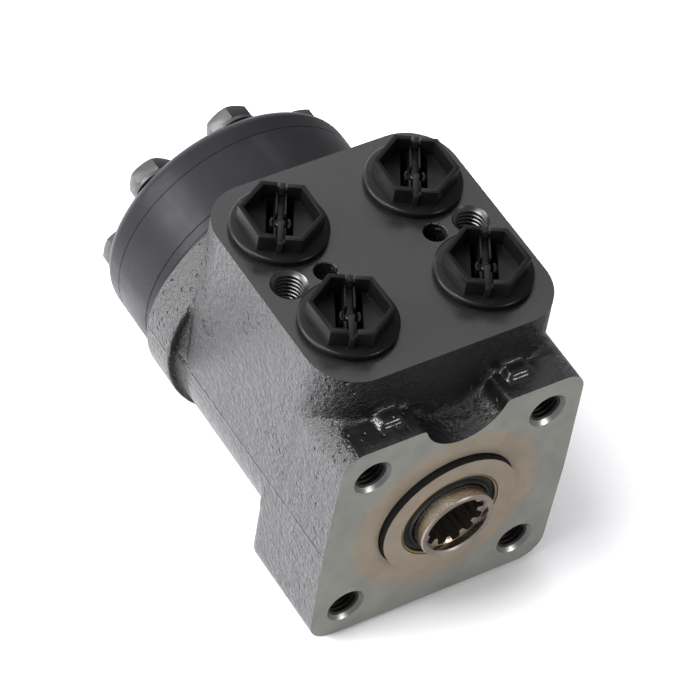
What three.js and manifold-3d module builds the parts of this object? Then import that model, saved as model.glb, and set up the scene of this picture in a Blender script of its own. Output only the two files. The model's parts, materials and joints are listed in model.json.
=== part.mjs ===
// Hydrostatic steering control unit: a rotary spool valve in a cast housing with a
// gerotor metering set bolted to its rear face.  All sizes are in millimetres.
//
// Modelling frame: the shaft runs along Y with its splined drive end towards -Y, the
// mounting flange face lies at y = 0 and the port face looks towards +Z.  The finished
// group is shifted so that it stands on its lowest point with its middle at y = 0.

import * as THREE from 'three';
import { mergeVertices } from 'three/addons/utils/BufferGeometryUtils.js';
import Module from 'manifold-3d';

const wasm = await Module();
wasm.setup();

const RAD = Math.PI / 180;

// ---- driving dimensions ------------------------------------------------------------

const CLEAR = 0.3;          // gap round a piece that sits in a cut-out
const STACK_GAP = 0.02;     // gap between faces clamped on each other

// cast housing
const PARTING_Z = -1;       // height of the mould parting line
const HALF_WIDTH = 41.1;    // half width of the body at the parting line
const DRAFT = 0.022;        // side walls lean in by this much per millimetre of height
const FLANGE_TOP = 41.4;
const FLANGE_BOTTOM = -40.9;
const FOOT_DEPTH = 33.5;    // depth of the square block below the parting line
const PORT_FACE_Z = 57.6;
const PORT_BLOCK_Y = [11.3, 89.9];
const PORT_BLOCK_CORNER = 15;
const NECK_Y = 81.5;        // front side of the round rear flange
const REAR_FACE_Y = 98.1;
const STACK_RADIUS = 41.66; // distributor plate, gear ring and end cover
const SCALLOP = { z: 44.9, radius: 14 };
const BOSS = { radius: 22.1, height: 2.2 };

// mounting and port threads
const FLANGE_HOLE_OFFSET = 29.17;           // four M10 on an 82.5 mm bolt circle
const M10_RADIUS = 4.6;
const M10_DEPTH = 17;
const COUNTERSINK_RADIUS = 6.15;
const PORT_X = 22.4;
const PORT_Y = [32.3, 70.6];
const PORT_RADIUS = 10.5;                   // G 1/2
const PORT_DEPTH = 15;
const PORT_FACE_HOLE = { x: 30.2, y: 51.4 };
const CHECK_HOLE = { x: 18.2, y: 51.5, radius: 3.45, depth: 16 };

// valve
const BORE_RADIUS = 19.12;
const BORE_START = 9.3;
const SLEEVE_RADIUS = 19.0;
const SLEEVE_BORE = 14.12;
const SLEEVE_Y = [14, 97.3];
const SPOOL_RADIUS = 14.0;
const SPOOL_NECK_RADIUS = 12.2;
const SPOOL_BORE = 11.0;
const SPOOL_Y = [-7, 95.5];
const PIN_Y = 45;
const PIN_RADIUS = 3.95;
const SPRING_Y = [23, 30];
const SPOOL_SWING = 10;                     // degrees the spool turns in the sleeve

// gerotor
const PINS = 7;
const PIN_CIRCLE = 29;
const LOBE_RADIUS = 8;
const ECCENTRICITY = 2.8;
const ROTOR_CLEARANCE = 0.15;
const POCKET_RADIUS = 26.9;
const PLATE_Y = [REAR_FACE_Y + STACK_GAP, 101.5];
const RING_Y = [101.52, 118.1];
const COVER_Y = [118.12, 127.5];

// screws through the gerotor stack
const SCREW_CIRCLE = 31.7;
const SCREW_RADIUS = 3.9;                   // M8
const SCREW_HOLE_RADIUS = SCREW_RADIUS + CLEAR;
const SCREW_TIP_Y = 84;
const WASHER_Y = [127.52, 128.9];
const HEAD_Y = [128.92, 134.2];
const HEAD_FLATS = 13;

// port plugs
const PLUG_RIM_RADIUS = 14.5;
const PLUG_HEX_RADIUS = 12.5;
const PLUG_WALL = 1.4;

// ---- solid helpers -----------------------------------------------------------------

// Closed manifold from a three.js geometry, seams welded and empty triangles dropped.
function solidOf(geometry) {
  geometry.deleteAttribute('normal');
  geometry.deleteAttribute('uv');
  const welded = mergeVertices(geometry, 1e-4);
  const index = welded.index.array;
  const triangles = [];
  for (let i = 0; i < index.length; i += 3) {
    const [a, b, c] = [index[i], index[i + 1], index[i + 2]];
    if (a !== b && b !== c && c !== a) triangles.push(a, b, c);
  }
  return new wasm.Manifold(new wasm.Mesh({
    numProp: 3,
    vertProperties: new Float32Array(welded.attributes.position.array),
    triVerts: new Uint32Array(triangles),
  }));
}

function geometryOf(solid) {
  const mesh = solid.getMesh();
  const geometry = new THREE.BufferGeometry();
  geometry.setAttribute('position', new THREE.BufferAttribute(new Float32Array(mesh.vertProperties), 3));
  geometry.setIndex(new THREE.BufferAttribute(new Uint32Array(mesh.triVerts), 1));
  geometry.computeVertexNormals();
  return geometry;
}

const union = (...solids) => solids.flat().reduce((sum, one) => sum.add(one));
const cut = (solid, ...tools) => tools.flat().reduce((rest, tool) => rest.subtract(tool), solid);

// Lays a shape made along local Y or Z onto another axis.
function turnAxis(geometry, from, to) {
  if (from === to) return geometry;
  const key = from + to;
  if (key === 'yz') return geometry.rotateX(Math.PI / 2);
  if (key === 'yx') return geometry.rotateZ(-Math.PI / 2);
  if (key === 'zy') return geometry.rotateX(Math.PI / 2);
  const basis = new THREE.Matrix4().makeBasis(
    new THREE.Vector3(0, 1, 0), new THREE.Vector3(0, 0, 1), new THREE.Vector3(1, 0, 0));
  return geometry.applyMatrix4(basis);
}

// Body of revolution from a closed profile of [radius, height] pairs.
function turned(profile, { segments = 40, axis = 'y', at = [0, 0, 0] } = {}) {
  const points = profile.map(([radius, height]) => new THREE.Vector2(radius, height));
  if (THREE.ShapeUtils.isClockWise(points)) points.reverse();
  const onAxis = points.findIndex((p, i) => p.x === 0 && points.at(i - 1).x === 0);
  const start = onAxis > 0 ? onAxis : 0;
  const ordered = [...points.slice(start), ...points.slice(0, start)];
  if (onAxis < 0) ordered.push(ordered[0].clone());
  const geometry = new THREE.LatheGeometry(ordered, segments);
  return solidOf(turnAxis(geometry, 'y', axis).translate(...at));
}

const rod = (radius, from, to, options) =>
  turned([[0, from], [radius, from], [radius, to], [0, to]], options);

const tube = (inner, outer, from, to, options) =>
  turned([[inner, from], [outer, from], [outer, to], [inner, to]], options);

// Straight prism of a list of [a, b] points: (x, z) along Y, (x, y) along Z, (y, z) along X.
function prism(outline, from, to, axis = 'y', holes = []) {
  const shape = new THREE.Shape(outline.map(([a, b]) => new THREE.Vector2(a, b)));
  for (const hole of holes) {
    shape.holes.push(new THREE.Path(hole.map(([a, b]) => new THREE.Vector2(a, b))));
  }
  const geometry = new THREE.ExtrudeGeometry(shape, { depth: to - from, bevelEnabled: false });
  turnAxis(geometry, 'z', axis);
  const shift = { x: [from, 0, 0], y: [0, to, 0], z: [0, 0, from] }[axis];
  return solidOf(geometry.translate(...shift));
}

function box(x, y, z) {
  const geometry = new THREE.BoxGeometry(x[1] - x[0], y[1] - y[0], z[1] - z[0]);
  return solidOf(geometry.translate((x[0] + x[1]) / 2, (y[0] + y[1]) / 2, (z[0] + z[1]) / 2));
}

// ---- outline helpers ---------------------------------------------------------------

const polar = (radius, degrees) => [radius * Math.cos(degrees * RAD), radius * Math.sin(degrees * RAD)];

function arc(radius, from, to, steps, centre = [0, 0]) {
  return Array.from({ length: steps + 1 }, (_, i) => {
    const [a, b] = polar(radius, from + ((to - from) * i) / steps);
    return [centre[0] + a, centre[1] + b];
  });
}

const circle = (radius, steps, centre) => arc(radius, 0, 360, steps, centre).slice(0, steps);

// Polygon with rounded corners, given anticlockwise as [a, b, radius].
function rounded(corners, steps = 5) {
  const outline = [];
  corners.forEach(([a, b, radius], i) => {
    const corner = new THREE.Vector2(a, b);
    if (!radius) {
      outline.push([a, b]);
      return;
    }
    const [before, after] = [corners.at(i - 1), corners[(i + 1) % corners.length]]
      .map(([p, q]) => new THREE.Vector2(p, q).sub(corner).normalize());
    const half = before.angleTo(after) / 2;
    const middle = before.clone().add(after).setLength(radius / Math.sin(half)).add(corner);
    const start = corner.clone().addScaledVector(before, radius / Math.tan(half)).sub(middle);
    const sweep = Math.PI - 2 * half;
    for (let k = 0; k <= steps; k++) {
      const point = start.clone().rotateAround(new THREE.Vector2(), (sweep * k) / steps).add(middle);
      outline.push([point.x, point.y]);
    }
  });
  return outline;
}

// Outline of a straight-sided spline; the teeth point inwards from `root` to `tip`.
function splineOutline(root, tip, teeth, rootShare, tipShare) {
  const pitch = 360 / teeth;
  const outline = [];
  for (let k = 0; k < teeth; k++) {
    const middle = k * pitch;
    outline.push(polar(tip, middle - (pitch * tipShare) / 2), polar(tip, middle + (pitch * tipShare) / 2));
    outline.push(polar(root, middle + (pitch * rootShare) / 2), polar(root, middle + pitch / 2));
    outline.push(polar(root, middle + pitch - (pitch * rootShare) / 2));
  }
  return outline;
}

const screwAngles = Array.from({ length: PINS }, (_, k) => 90 + (k * 360) / PINS);
const screwPlaces = screwAngles.map((angle) => polar(SCREW_CIRCLE, angle));
const oilAngles = screwAngles.map((angle) => angle + 180 / PINS);

const stackHoles = (from, to) => screwPlaces.map(([x, z]) =>
  rod(SCREW_HOLE_RADIUS, from, to, { segments: 14, at: [x, 0, z] }));

// ---- parts and materials -----------------------------------------------------------

const FINISH = {
  paint: { color: 0x17181a, roughness: 0.34, metalness: 0.2 },
  stackPaint: { color: 0x1d1c20, roughness: 0.42, metalness: 0.25 },
  steel: { color: 0xb9b6b0, roughness: 0.3, metalness: 0.95 },
  springSteel: { color: 0x8d8f94, roughness: 0.35, metalness: 0.9 },
  darkSteel: { color: 0x2a2b2e, roughness: 0.45, metalness: 0.8 },
  plastic: { color: 0x151516, roughness: 0.5, metalness: 0 },
  rubber: { color: 0x101010, roughness: 0.8, metalness: 0 },
  sealCase: { color: 0x9a7f45, roughness: 0.4, metalness: 0.8 },
};

const unit = new THREE.Group();
unit.name = 'steering_control_unit';
const inner = new THREE.Group();
inner.name = 'shaft_frame';
unit.add(inner);

function place(name, solid, finish) {
  const mesh = new THREE.Mesh(geometryOf(solid), new THREE.MeshStandardMaterial(FINISH[finish]));
  mesh.name = name;
  mesh.material.name = finish;
  inner.add(mesh);
}

// ---- housing -----------------------------------------------------------------------

const halfWidthAt = (z) => HALF_WIDTH - DRAFT * Math.abs(z - PARTING_Z);

// Square mounting flange: both side walls lean in from the parting line.
const flangeOutline = rounded([
  [-halfWidthAt(FLANGE_BOTTOM), FLANGE_BOTTOM, 8],
  [halfWidthAt(FLANGE_BOTTOM), FLANGE_BOTTOM, 8],
  [HALF_WIDTH, PARTING_Z, 0],
  [halfWidthAt(FLANGE_TOP), FLANGE_TOP, 7],
  [-halfWidthAt(FLANGE_TOP), FLANGE_TOP, 7],
  [-HALF_WIDTH, PARTING_Z, 0],
]);

const footOutline = rounded([
  [-halfWidthAt(FLANGE_BOTTOM), FLANGE_BOTTOM, 8],
  [halfWidthAt(FLANGE_BOTTOM), FLANGE_BOTTOM, 8],
  [HALF_WIDTH, PARTING_Z, 0],
  [36, 8, 0],
  [-36, 8, 0],
  [-HALF_WIDTH, PARTING_Z, 0],
]);

// Upper block that carries the port face, drafted by narrowing it with height.
function portBlock() {
  const [front, back] = PORT_BLOCK_Y;
  const plan = rounded([
    [-HALF_WIDTH, front, PORT_BLOCK_CORNER],
    [HALF_WIDTH, front, PORT_BLOCK_CORNER],
    [HALF_WIDTH, back, PORT_BLOCK_CORNER],
    [-HALF_WIDTH, back, PORT_BLOCK_CORNER],
  ]).map(([x, y]) => new THREE.Vector2(x, y));
  const geometry = new THREE.ExtrudeGeometry(new THREE.Shape(plan), {
    depth: PORT_FACE_Z - PARTING_Z, bevelEnabled: false,
  }).translate(0, 0, PARTING_Z);
  const position = geometry.attributes.position;
  for (let i = 0; i < position.count; i++) {
    position.setX(i, (position.getX(i) * halfWidthAt(position.getZ(i))) / HALF_WIDTH);
  }
  return solidOf(geometry);
}

// Round barrel below the parting line, behind the square foot.
const barrelOutline = [
  [HALF_WIDTH, PARTING_Z], [36, 8], [-36, 8], [-HALF_WIDTH, PARTING_Z],
  ...arc(HALF_WIDTH, 183, 357, 28),
];

// Rear flange: round, swelling out to the parting line on both sides.
const rearFlangeOutline = Array.from({ length: 48 }, (_, i) => {
  const angle = (i * 360) / 48;
  const [c, s] = polar(1, angle);
  const swell = 2 * Math.abs(c) ** (s > 0 ? 6 : 1.5);
  return polar(STACK_RADIUS + swell, angle);
});

// Seal seats, bearing shoulder and valve bore, cut in one go.
const boreProfile = [
  [0, -BOSS.height - 1], [16.05 + CLEAR, -BOSS.height - 1], [16.05 + CLEAR, 1.6], [13, 1.6], [13, 3],
  [16.5, 3], [16.5, 8], [13, 8], [13, BORE_START], [BORE_RADIUS, BORE_START],
  [BORE_RADIUS, REAR_FACE_Y + 1], [0, REAR_FACE_Y + 1],
];

// Blind threaded hole with a countersunk mouth, cut downwards from `mouth`.
function threadedHole(mouth, axis, at, inward) {
  const s = inward;
  return turned([
    [0, mouth - s], [COUNTERSINK_RADIUS, mouth - s], [COUNTERSINK_RADIUS, mouth],
    [M10_RADIUS + 0.4, mouth + s * (COUNTERSINK_RADIUS - M10_RADIUS - 0.4)],
    [M10_RADIUS, mouth + s * (COUNTERSINK_RADIUS - M10_RADIUS + 0.2)],
    [M10_RADIUS, mouth + s * M10_DEPTH], [0, mouth + s * (M10_DEPTH + 2.4)],
  ], { segments: 16, axis, at });
}

// Slanted oil drillings from the rear face to the valve bore, one per gerotor chamber.
function oilDrilling(angle) {
  const [rear, front] = [[27.2, REAR_FACE_Y + 1.5], [17.8, 82]];
  const run = new THREE.Vector2(rear[0] - front[0], rear[1] - front[1]);
  const geometry = new THREE.CylinderGeometry(1.9, 1.9, run.length(), 8);
  geometry.translate(0, run.length() / 2, 0).rotateZ(-Math.atan2(run.x, run.y));
  geometry.translate(front[0], front[1], 0).rotateY(-angle * RAD);
  return solidOf(geometry);
}

// Ring groove for a face seal, open towards +Y or -Y.
const SEAL_GROOVE = { inner: 37.6, outer: 39.8, depth: 1.3 };
const sealGroove = (face, inward) => tube(SEAL_GROOVE.inner, SEAL_GROOVE.outer,
  ...[face - inward, face + inward * SEAL_GROOVE.depth].sort((a, b) => a - b), { segments: 40 });

const corners = [[-1, -1], [1, -1], [1, 1], [-1, 1]];
const ports = [[-1, 0], [1, 0], [1, 1], [-1, 1]].map(([side, row]) => [side * PORT_X, PORT_Y[row]]);

const housingBlank = union(
  prism(flangeOutline, 0, 24),
  prism(footOutline, 0, FOOT_DEPTH),
  portBlock(),
  prism(barrelOutline, 25, 88),
  turned([[0, NECK_Y], [38.5, NECK_Y], [STACK_RADIUS, NECK_Y + 3.2], [STACK_RADIUS, REAR_FACE_Y],
    [0, REAR_FACE_Y]], { segments: 48 }),
  prism(rearFlangeOutline, NECK_Y + 1.5, REAR_FACE_Y - 1.3),
  turned([[0, 1], [0, -BOSS.height], [BOSS.radius, -BOSS.height], [BOSS.radius, 1]]),
  // two small cast pads where the port block meets the flange
  box([-25, -17.6], [6, 13], [40, 43]),
  box([17.6, 25], [6, 13], [40, 43]),
);

const housing = cut(
  housingBlank,
  rod(SCALLOP.radius, -1, PORT_BLOCK_Y[0], { at: [0, 0, SCALLOP.z] }),
  turned(boreProfile),
  corners.map(([x, z]) => threadedHole(0, 'y', [x * FLANGE_HOLE_OFFSET, 0, z * FLANGE_HOLE_OFFSET], 1)),
  [-1, 1].map((side) => threadedHole(PORT_FACE_Z, 'z', [side * PORT_FACE_HOLE.x, PORT_FACE_HOLE.y, 0], -1)),
  ports.map(([x, y]) => rod(PORT_RADIUS, PORT_FACE_Z - PORT_DEPTH, PORT_FACE_Z + 1,
    { segments: 24, axis: 'z', at: [x, y, 0] })),
  ports.map(([x, y]) => rod(3, 6, PORT_FACE_Z - PORT_DEPTH + 1,
    { segments: 8, axis: 'z', at: [Math.sign(x) * 15, y, 0] })),
  [-1, 1].map((side) => rod(CHECK_HOLE.radius, PORT_FACE_Z - CHECK_HOLE.depth, PORT_FACE_Z + 1,
    { segments: 20, axis: 'z', at: [side * CHECK_HOLE.x, CHECK_HOLE.y, 0] })),
  rod(1.8, 10, PORT_FACE_Z - CHECK_HOLE.depth + 1,
    { segments: 12, axis: 'z', at: [-CHECK_HOLE.x + 1.2, CHECK_HOLE.y, 0] }),
  stackHoles(82, REAR_FACE_Y + 1),
  oilAngles.map(oilDrilling),
  sealGroove(REAR_FACE_Y, -1),
);
place('housing', housing, 'paint');

// ---- seals and thrust bearing at the drive end -------------------------------------

const dustSealProfile = [
  [12.5, -1.9], [13.1, -2.1], [13.4, -1.2], [15.3, -1.2], [15.3, -2.1], [16.05, -2.1], [16.05, 1.3],
  [12.8, 1.3],
];
const shaftSealProfile = [[12.5, 3.3], [16.2, 3.3], [16.2, 7.7], [13.4, 7.7], [13.4, 5.2], [12.5, 4.6]];
place('dust_seal', turned(dustSealProfile, { segments: 40 }), 'sealCase');
place('shaft_seal', turned(shaftSealProfile, { segments: 28 }), 'rubber');

const RACE = { inner: 12.6, outer: 18.7, front: [9.35, 10.3], rear: [12.7, 13.65] };
place('bearing_race_front', tube(RACE.inner, RACE.outer, ...RACE.front, { segments: 32 }), 'steel');
place('bearing_race_rear', tube(RACE.inner, RACE.outer, ...RACE.rear, { segments: 32 }), 'steel');

const CAGE_Y = 11.5;
const needles = Array.from({ length: 12 }, (_, k) => {
  const needle = new THREE.CylinderGeometry(1.05, 1.05, 3.8, 6);
  needle.rotateZ(Math.PI / 2).translate(15.7, CAGE_Y, 0).rotateY(k * 30 * RAD);
  return solidOf(needle);
});
const cage = tube(12.9, 18.5, CAGE_Y - 0.6, CAGE_Y + 0.6, { segments: 28 });
place('needle_cage', union(cage, needles), 'steel');

// ---- sleeve, cross pin and springs --------------------------------------------------

const sleeveGrooves = [61, 75];
const sleeveProfile = [[SLEEVE_BORE, SLEEVE_Y[0]], [SLEEVE_RADIUS, SLEEVE_Y[0]]];
for (const y of sleeveGrooves) {
  sleeveProfile.push([SLEEVE_RADIUS, y - 1.2], [SLEEVE_RADIUS - 1, y - 1.2]);
  sleeveProfile.push([SLEEVE_RADIUS - 1, y + 1.2], [SLEEVE_RADIUS, y + 1.2]);
}
sleeveProfile.push([SLEEVE_RADIUS, SLEEVE_Y[1]], [SLEEVE_BORE, SLEEVE_Y[1]]);

// Radial drillings through the sleeve wall, a ring of six at height y.
const sleeveDrillings = (y, turn) => Array.from({ length: 6 }, (_, k) => {
  const drilling = new THREE.CylinderGeometry(1.0, 1.0, 8, 6);
  drilling.rotateZ(Math.PI / 2).translate(16.5, y, 0).rotateY((k * 60 + turn) * RAD);
  return solidOf(drilling);
});

const sleeve = cut(
  turned(sleeveProfile),
  sleeveDrillings(61, 15),
  sleeveDrillings(75, 45),
  rod(PIN_RADIUS + CLEAR, -21, 21, { segments: 20, axis: 'x', at: [0, PIN_Y, 0] }),
  box([-21, 21], [SPRING_Y[0] - CLEAR, SPRING_Y[1] + CLEAR], [-1.9, 1.9]),
);
place('sleeve', sleeve, 'steel');
place('cross_pin', turned([[0, -18.5], [PIN_RADIUS - 0.6, -18.5], [PIN_RADIUS, -17.9], [PIN_RADIUS, 17.9],
  [PIN_RADIUS - 0.6, 18.5], [0, 18.5]], { segments: 20, axis: 'x', at: [0, PIN_Y, 0] }), 'steel');

// Leaf spring pack: straight at both ends, bowed apart in the middle, as one clipped pack.
const springOutline = [
  [-18.3, -1.6], [-13, -1.6], [-6, -2.6], [6, -2.6], [13, -1.6], [18.3, -1.6],
  [18.3, 1.6], [13, 1.6], [6, 2.6], [-6, 2.6], [-13, 1.6], [-18.3, 1.6],
];
const springHole = [[-11, 0], [-6, 1.5], [6, 1.5], [11, 0], [6, -1.5], [-6, -1.5]];
place('centring_springs', prism(springOutline, ...SPRING_Y, 'y', [springHole]), 'springSteel');

// ---- spool --------------------------------------------------------------------------

// Half height of a wall opening that clears `half` when the spool swings both ways.
const swingHalf = (half) => half + SPOOL_RADIUS * Math.sin(SPOOL_SWING * RAD) + CLEAR;

const spoolBlank = turned([
  [0, SPOOL_Y[0]], [SPOOL_NECK_RADIUS - 0.8, SPOOL_Y[0]], [SPOOL_NECK_RADIUS - 0.2, SPOOL_Y[0] + 0.3],
  [SPOOL_NECK_RADIUS, SPOOL_Y[0] + 1], [SPOOL_NECK_RADIUS, SLEEVE_Y[0]], [SPOOL_RADIUS, SLEEVE_Y[0]],
  [SPOOL_RADIUS, SPOOL_Y[1]], [0, SPOOL_Y[1]],
]);
const socketFloor = 13.5;
const spoolSocket = prism(splineOutline(10, 8.4, 12, 0.52, 0.3), SPOOL_Y[0] - 1, socketFloor);
const spoolMouth = turned([[0, SPOOL_Y[0] - 1], [10.9, SPOOL_Y[0] - 1], [10.9, SPOOL_Y[0]],
  [10.2, SPOOL_Y[0] + 0.7], [10.2, SPOOL_Y[0] + 2.2], [8.2, SPOOL_Y[0] + 3], [0, SPOOL_Y[0] + 3]]);
const pinWindow = swingHalf(PIN_RADIUS);
const springWindow = swingHalf(1.6);
const meteringGrooves = Array.from({ length: 6 }, (_, k) => {
  const groove = new THREE.BoxGeometry(2, 20, 3);
  groove.translate(SPOOL_RADIUS + 0.1, 68, 0).rotateY((k * 60 + 30) * RAD);
  return solidOf(groove);
});
const spool = cut(
  spoolBlank, spoolSocket, spoolMouth,
  rod(SPOOL_BORE, 18, SPOOL_Y[1] + 1),
  prism(rounded([[PIN_Y - 4.3, -pinWindow, 3.5], [PIN_Y + 4.3, -pinWindow, 3.5],
    [PIN_Y + 4.3, pinWindow, 3.5], [PIN_Y - 4.3, pinWindow, 3.5]]), -16, 16, 'x'),
  box([-16, 16], [SPRING_Y[0] - CLEAR, SPRING_Y[1] + CLEAR], [-springWindow, springWindow]),
  meteringGrooves,
);
place('spool', spool, 'steel');

// ---- cardan shaft and gerotor -------------------------------------------------------

// Gear ring pocket: a round pocket broken by seven round lobes.  `reach` is where a lobe
// meets the pocket wall, as an angle round the lobe's own centre; `edge` is the same
// point as an angle round the shaft.
const reach = Math.acos((POCKET_RADIUS ** 2 - PIN_CIRCLE ** 2 - LOBE_RADIUS ** 2)
  / (2 * PIN_CIRCLE * LOBE_RADIUS)) / RAD;
const edge = Math.asin((LOBE_RADIUS * Math.sin(reach * RAD)) / POCKET_RADIUS) / RAD;
const pocketOutline = screwAngles.flatMap((angle) => [
  ...arc(LOBE_RADIUS, angle + 360 - reach, angle + reach, 13, polar(PIN_CIRCLE, angle)),
  ...arc(POCKET_RADIUS, angle + edge, angle + 360 / PINS - edge, 5).slice(1, 5),
]);

// Rotor curve rolled by the seven lobes; its first hollow meets the lobe at the top.
function rotorOutline(count) {
  const offset = LOBE_RADIUS + ROTOR_CLEARANCE;
  return Array.from({ length: count }, (_, i) => {
    const even = (i * 2 * Math.PI) / count;
    const t = even - (0.87 * Math.sin((PINS - 1) * even)) / (PINS - 1);   // closer steps in the hollows
    const lean = Math.atan2(Math.sin((1 - PINS) * t),
      PIN_CIRCLE / (ECCENTRICITY * PINS) - Math.cos((1 - PINS) * t));
    const along = PIN_CIRCLE * Math.cos(t) - offset * Math.cos(t + lean)
      - ECCENTRICITY * Math.cos(PINS * t);
    const across = -PIN_CIRCLE * Math.sin(t) + offset * Math.sin(t + lean)
      + ECCENTRICITY * Math.sin(PINS * t);
    return [across, along + ECCENTRICITY];
  });
}

const DRIVE = { root: 11.7, tip: 10.2, teeth: 12 };
const rotorSpline = splineOutline(DRIVE.root, DRIVE.tip, DRIVE.teeth, 0.56, 0.34)
  .map(([x, z]) => [x, z + ECCENTRICITY]);
place('rotor', prism(rotorOutline(96), RING_Y[0] + 0.08, RING_Y[1] - 0.08, 'y', [rotorSpline]), 'steel');

const TILT = Math.atan2(ECCENTRICITY, (RING_Y[0] + RING_Y[1]) / 2 - PIN_Y);
// Double-ended drive shaft, made along Y from the cross pin and then tilted to the rotor.
function cardanShaft() {
  const shaft = { fork: -7, splineStart: 57.5, end: 68.5 };
  const blank = turned([
    [0, shaft.fork], [8, shaft.fork], [9.2, shaft.fork + 1.2], [9.2, 9], [7.2, 12], [7.2, 53], [9.5, 56],
    [9.5, shaft.end], [0, shaft.end],
  ], { segments: 24 });
  const crown = prism(splineOutline(DRIVE.root - 0.5, DRIVE.tip - 0.55, DRIVE.teeth, 0.8, 0.6),
    shaft.splineStart, shaft.end);
  const slotHalf = PIN_RADIUS + 0.4;
  const forkSlot = box([-12, 12], [shaft.fork - 1, PIN_RADIUS + 0.5], [-slotHalf, slotHalf]);
  const geometry = geometryOf(cut(union(blank, crown), forkSlot));
  return solidOf(geometry.rotateX(TILT).translate(0, PIN_Y, 0));
}
place('cardan_shaft', cardanShaft(), 'darkSteel');
place('cardan_spacer', rod(9.5, 114.6, 117.8, { segments: 28, at: [0, 0, ECCENTRICITY] }), 'steel');

place('distributor_plate', cut(
  tube(14.6, STACK_RADIUS, ...PLATE_Y, { segments: 48 }),
  stackHoles(PLATE_Y[0] - 1, PLATE_Y[1] + 1),
  oilAngles.map((angle) => {
    const [x, z] = polar(24.6, angle);
    return rod(2.1, PLATE_Y[0] - 1, PLATE_Y[1] + 1, { segments: 8, at: [x, 0, z] });
  }),
), 'stackPaint');

place('gear_ring', cut(
  prism(circle(STACK_RADIUS, 48), ...RING_Y, 'y', [pocketOutline]),
  stackHoles(RING_Y[0] - 1, RING_Y[1] + 1),
  sealGroove(RING_Y[0], 1),
), 'stackPaint');

const COVER_ROUND = 4.6;
const coverProfile = [[0, COVER_Y[0]], [STACK_RADIUS, COVER_Y[0]],
  ...arc(COVER_ROUND, 0, 90, 4, [STACK_RADIUS - COVER_ROUND, COVER_Y[1] - COVER_ROUND]), [0, COVER_Y[1]]];
place('end_cover', cut(
  turned(coverProfile, { segments: 48 }),
  stackHoles(COVER_Y[0] - 1, COVER_Y[1] + 1),
  sealGroove(COVER_Y[0], 1),
), 'stackPaint');

// Face seals: square ring sections lying in the three grooves.
const sealSection = (start) => tube(SEAL_GROOVE.inner + CLEAR, SEAL_GROOVE.outer - CLEAR,
  start, start + 1.2, { segments: 36 });
place('housing_seal_ring', sealSection(REAR_FACE_Y - 1.25), 'rubber');
place('plate_seal_ring', sealSection(RING_Y[0] + 0.05), 'rubber');
place('cover_seal_ring', sealSection(COVER_Y[0] + 0.05), 'rubber');

// ---- screws and washers ---------------------------------------------------------------

screwPlaces.forEach(([x, z], k) => {
  const flats = Array.from({ length: 6 }, (_, i) =>
    polar(HEAD_FLATS / 2 / Math.cos(30 * RAD), screwAngles[k] + 11 + i * 60));
  const head = prism(flats, ...HEAD_Y);
  const shank = turned([
    [0, SCREW_TIP_Y], [SCREW_RADIUS - 0.9, SCREW_TIP_Y], [SCREW_RADIUS, SCREW_TIP_Y + 0.9],
    [SCREW_RADIUS, HEAD_Y[0] + 1], [0, HEAD_Y[0] + 1],
  ], { segments: 12 });
  place(`cover_screw_${k + 1}`, union(head, shank).translate([x, 0, z]), 'darkSteel');
  const washer = tube(SCREW_HOLE_RADIUS, 7.9, ...WASHER_Y, { segments: 16, at: [x, 0, z] });
  place(`screw_washer_${k + 1}`, washer, 'darkSteel');
});

// ---- port plugs -----------------------------------------------------------------------

// Hollow plastic plug with a hexagonal collar and a cross rib to grip it by.
function portPlug([x, y], turn) {
  const rim = [PORT_FACE_Z + 0.8, PORT_FACE_Z + 2.6];
  const top = PORT_FACE_Z + 8;
  const stub = PORT_FACE_Z - 11;
  const body = turned([
    [0, stub], [9.2, stub], [10.1, stub + 1], [10.1, rim[0]], [PLUG_RIM_RADIUS - 0.3, rim[0]],
    [PLUG_RIM_RADIUS, rim[0] + 0.3], [PLUG_RIM_RADIUS, rim[1] - 0.4],
    [PLUG_RIM_RADIUS - 0.5, rim[1]], [0, rim[1]],
  ], { segments: 28, axis: 'z' });
  const hexagon = (radius) => Array.from({ length: 6 }, (_, k) => polar(radius, 30 + 60 * k));
  const collar = prism(hexagon(PLUG_HEX_RADIUS), rim[0] + 0.5, top, 'z');
  const inside = hexagon(PLUG_HEX_RADIUS - PLUG_WALL / Math.cos(30 * RAD));
  const well = prism(inside, rim[1] - 0.6, top + 1, 'z');
  const rib = box([-10.4, 10.4], [-1.25, 1.25], [rim[0] + 0.5, top - 1.5]);
  const hub = rod(3, rim[0] + 0.5, top - 3.2, { segments: 12, axis: 'z' });
  const slots = [-3, 3].map((y0) => box([-4.5, 6.5], [y0 - 1.1, y0 + 1.1], [stub + 2, top]));
  const notch = box([3.5, 8.8], [-2, 2], [rim[1] + 2, top]);
  const plug = cut(union(cut(union(body, collar), well), rib, hub), slots, notch);
  return plug.rotate([0, 0, turn]).translate([x, y, 0]);
}

const plugTurns = [61, 60, 59, 58];
ports.forEach((spot, k) => {
  place(`port_plug_${k + 1}`, portPlug(spot, plugTurns[k]), 'plastic');
  place(`plug_seal_${k + 1}`, tube(10.4, 13.4, PORT_FACE_Z + STACK_GAP, PORT_FACE_Z + 0.8 - STACK_GAP,
    { segments: 24, axis: 'z', at: [...spot, 0] }), 'rubber');
});

// ---- check valve ----------------------------------------------------------------------

const seatFloor = PORT_FACE_Z - CHECK_HOLE.depth + STACK_GAP;
const checkAt = { axis: 'z', at: [-CHECK_HOLE.x, CHECK_HOLE.y, 0] };
place('check_valve_seat', turned([[1.6, seatFloor], [3.3, seatFloor], [3.3, seatFloor + 2.4],
  [2.3, seatFloor + 2.4], [1.6, seatFloor + 1.7]], { segments: 20, ...checkAt }), 'steel');
const ball = new THREE.SphereGeometry(2.6, 14, 9);
ball.translate(-CHECK_HOLE.x, CHECK_HOLE.y, seatFloor + 4.35);
place('check_ball', solidOf(ball), 'steel');

// ---- stand the unit on its lowest point, centred along the shaft ------------------------

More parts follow.
